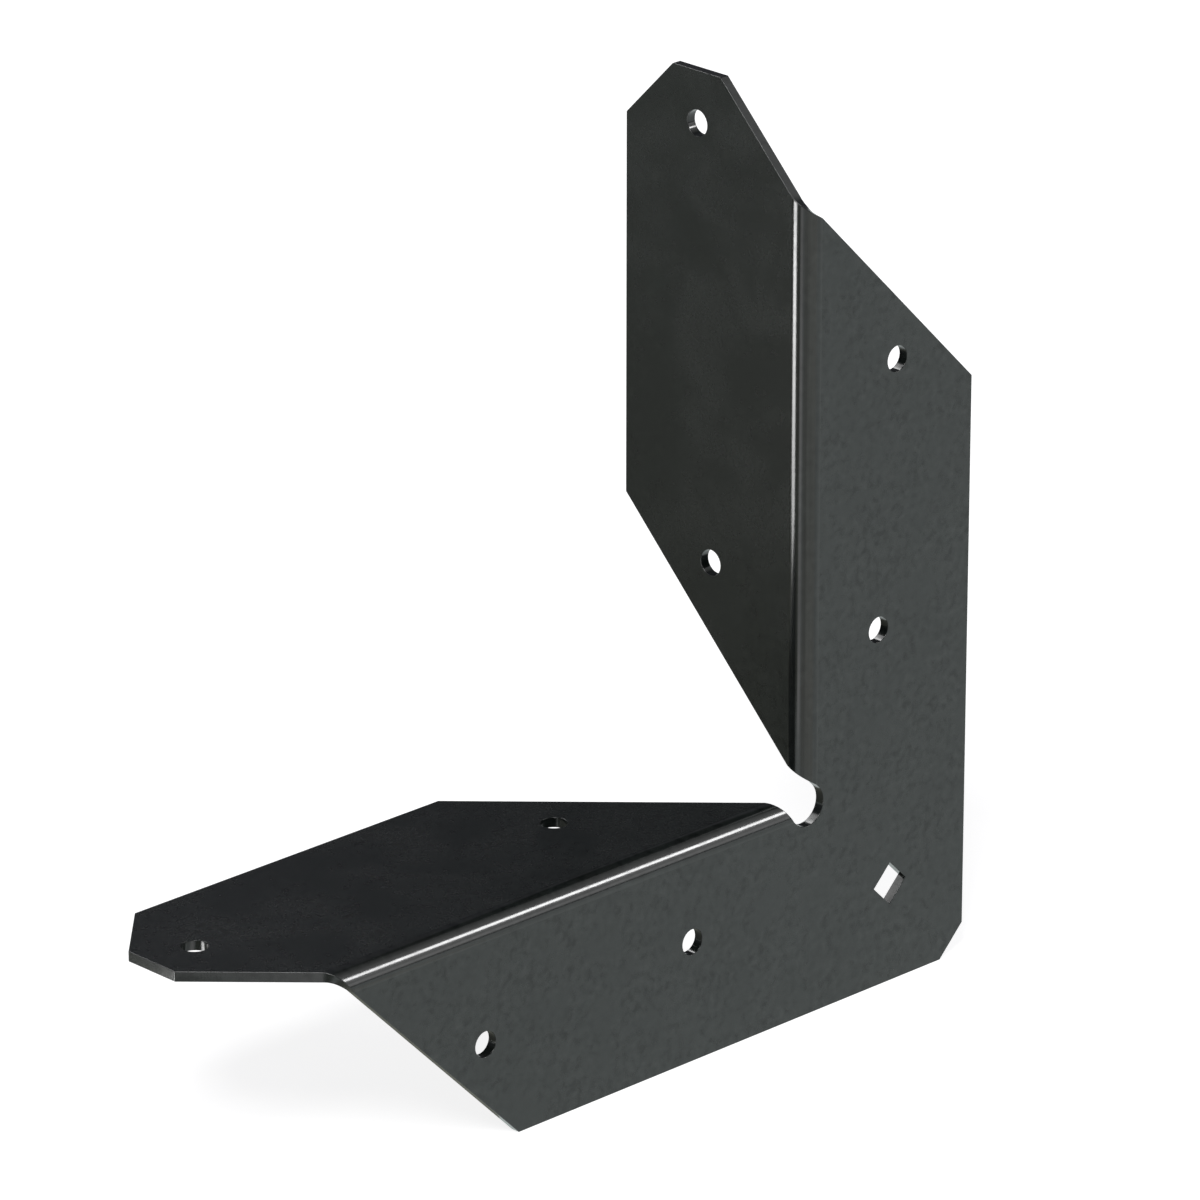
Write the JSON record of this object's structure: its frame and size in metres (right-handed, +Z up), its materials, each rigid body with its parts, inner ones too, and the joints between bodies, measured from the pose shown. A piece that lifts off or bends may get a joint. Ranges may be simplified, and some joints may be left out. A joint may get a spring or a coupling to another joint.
{
  "type": "timber angle connector",
  "caption": "Flat L-shaped steel plate with a flange folded back along each inner edge, screwed over a timber corner to tie a post to a beam.",
  "frame": {"origin": "the timber corner, where the plate's back, the upper flange's inner face and the lower flange's inner face would meet", "axes": "+Z up along the post and the upper arm, +Y from the plate into the timber, +X across the plate away from the upper flange; the lower arm and its flange run along -X"},
  "size_m": [0.254, 0.0663, 0.254],
  "materials": {
    "black_powder_coat": "satin black powder coat with fine mottling, glossy along the folds"
  },
  "bodies": {
    "root": {"angle_connector": "black_powder_coat"}
  },
  "joints": []
}
